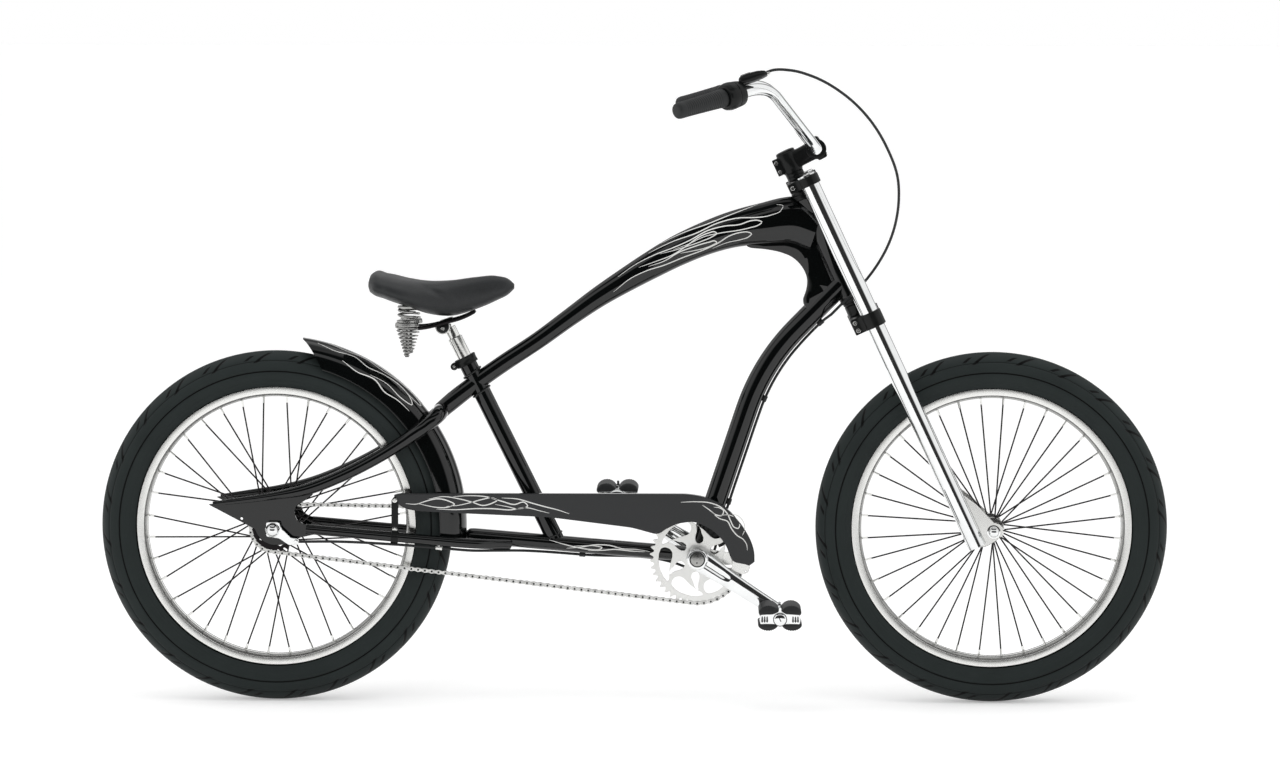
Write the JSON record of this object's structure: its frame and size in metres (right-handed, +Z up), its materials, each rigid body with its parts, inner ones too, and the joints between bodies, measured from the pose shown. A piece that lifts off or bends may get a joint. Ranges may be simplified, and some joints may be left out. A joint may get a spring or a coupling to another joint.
{
  "type": "chopper bicycle",
  "caption": "Stretched cruiser bicycle with a curved tank-style top tube, long straight fork, wide tyres, rear fender, chain guard and sprung saddle.",
  "frame": {"origin": "the rider's place, the lowest point of the saddle's top in the middle plane", "axes": "+X forward along the bicycle, +Y to the rider's left, +Z up"},
  "size_m": [1.9734, 0.7596, 1.1841],
  "materials": {
    "gloss_black_paint": "gloss",
    "chrome": "polished",
    "polished_alloy": "polished",
    "black_alloy": "satin",
    "black_rubber": "matte",
    "tyre_rubber": "matte",
    "saddle_cover": "matte",
    "dark_steel": "satin"
  },
  "bodies": {
    "frame": {"head_tube": "gloss_black_paint", "top_tube": "gloss_black_paint", "down_tube": "gloss_black_paint", "lower_tube": "gloss_black_paint", "seat_tube": "gloss_black_paint", "top_tube_tail": "gloss_black_paint", "head_gusset": "gloss_black_paint", "bracket_shell": "gloss_black_paint", "seatstay_right": "gloss_black_paint", "seatstay_left": "gloss_black_paint", "chainstay_right": "gloss_black_paint", "chainstay_left": "gloss_black_paint", "rear_fender": "gloss_black_paint", "chain_guard": "gloss_black_paint", "headset_lower": "black_alloy", "headset_upper": "black_alloy", "seat_collar": "black_alloy", "guard_strap": "black_alloy", "seat_post": "polished_alloy", "guard_bracket": "polished_alloy", "shift_lever": "polished_alloy", "saddle": "saddle_cover", "saddle_rails": "dark_steel", "chain": "dark_steel", "rear_axle": "dark_steel", "saddle_spring_right": "chrome", "saddle_spring_left": "chrome", "shift_cable": "black_rubber", "frame_cable": "black_rubber"},
    "steering": {"fork_leg_right": "chrome", "fork_leg_left": "chrome", "lower_crown": "black_alloy", "upper_crown": "black_alloy", "stem": "black_alloy", "handlebar": "chrome", "grip_right": "black_rubber", "grip_left": "black_rubber", "twist_shifter": "black_alloy", "front_axle": "dark_steel"},
    "front_wheel": {"front_tyre": "tyre_rubber", "front_rim": "polished_alloy", "front_hub": "polished_alloy"},
    "rear_wheel": {"rear_tyre": "tyre_rubber", "rear_rim": "polished_alloy", "rear_hub": "polished_alloy"},
    "cog": {"rear_sprocket": "dark_steel"},
    "cranks": {"chainring": "polished_alloy", "crank_axle": "dark_steel", "crank_right": "chrome", "crank_left": "chrome"},
    "pedal_r": {"pedal_right": "chrome", "pedal_tread_right": "black_rubber"},
    "pedal_l": {"pedal_left": "chrome", "pedal_tread_left": "black_rubber"}
  },
  "joints": [
    {"name": "steering_turn", "type": "hinge", "parent": "frame", "child": "steering", "pos_m": [0.77839, 0, -0.0248], "axis": [-0.4226, 0, 0.9063], "range_deg": [-60, 60], "deforming": ["shift_cable"]},
    {"name": "front_wheel_spin", "type": "hinge", "parent": "steering", "child": "front_wheel", "pos_m": [1.04, 0, -0.4545], "axis": [0, 1, 0], "continuous": true},
    {"name": "rear_wheel_spin", "type": "hinge", "parent": "frame", "child": "rear_wheel", "pos_m": [-0.285, 0, -0.4545], "axis": [0, 1, 0], "continuous": true},
    {"name": "crank_spin", "type": "hinge", "parent": "frame", "child": "cranks", "pos_m": [0.496, 0, -0.507], "axis": [0, 1, 0], "continuous": true},
    {"name": "cog_spin", "type": "hinge", "parent": "frame", "child": "cog", "pos_m": [-0.285, 0, -0.4545], "axis": [0, 1, 0], "continuous": true},
    {"name": "pedal_right_spin", "type": "hinge", "parent": "cranks", "child": "pedal_r", "pos_m": [0.64696, 0, -0.60503], "axis": [0, 1, 0], "continuous": true},
    {"name": "pedal_left_spin", "type": "hinge", "parent": "cranks", "child": "pedal_l", "pos_m": [0.34504, 0, -0.40897], "axis": [0, 1, 0], "continuous": true}
  ],
  "couplings": [
    {"joint": "cog_spin", "follows": "crank_spin", "ratio": 1.9091}
  ]
}
